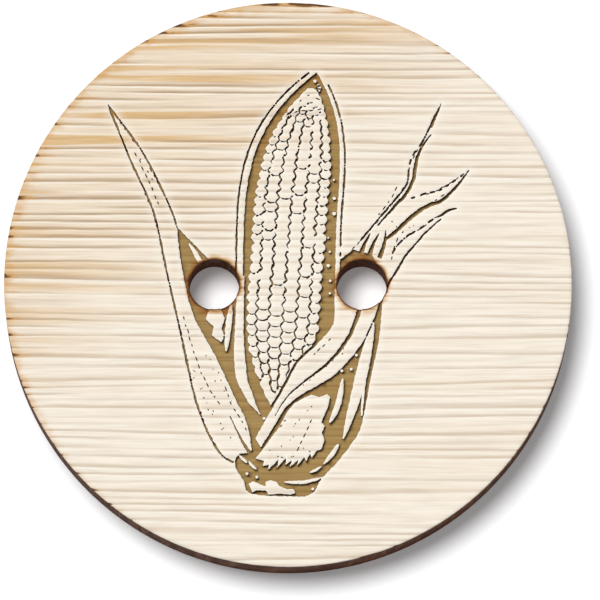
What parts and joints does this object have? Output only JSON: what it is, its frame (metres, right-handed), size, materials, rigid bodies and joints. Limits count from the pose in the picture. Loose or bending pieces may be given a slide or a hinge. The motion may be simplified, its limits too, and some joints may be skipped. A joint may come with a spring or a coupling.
{
  "type": "wooden button",
  "caption": "Round flat sew-through button cut from pale wood, with plain sewing holes through it and an ear of corn engraved in its face.",
  "frame": {"origin": "centre of the back face", "axes": "+Z out of the engraved face, +X along the line through the sewing holes, +Y towards the tip of the engraved ear"},
  "size_m": [0.025, 0.025, 0.003],
  "materials": {
    "wood": "bare sanded pale wood, browned where it is engraved and dark brown on the cut edges"
  },
  "bodies": {
    "root": {"button": "wood"}
  },
  "joints": []
}
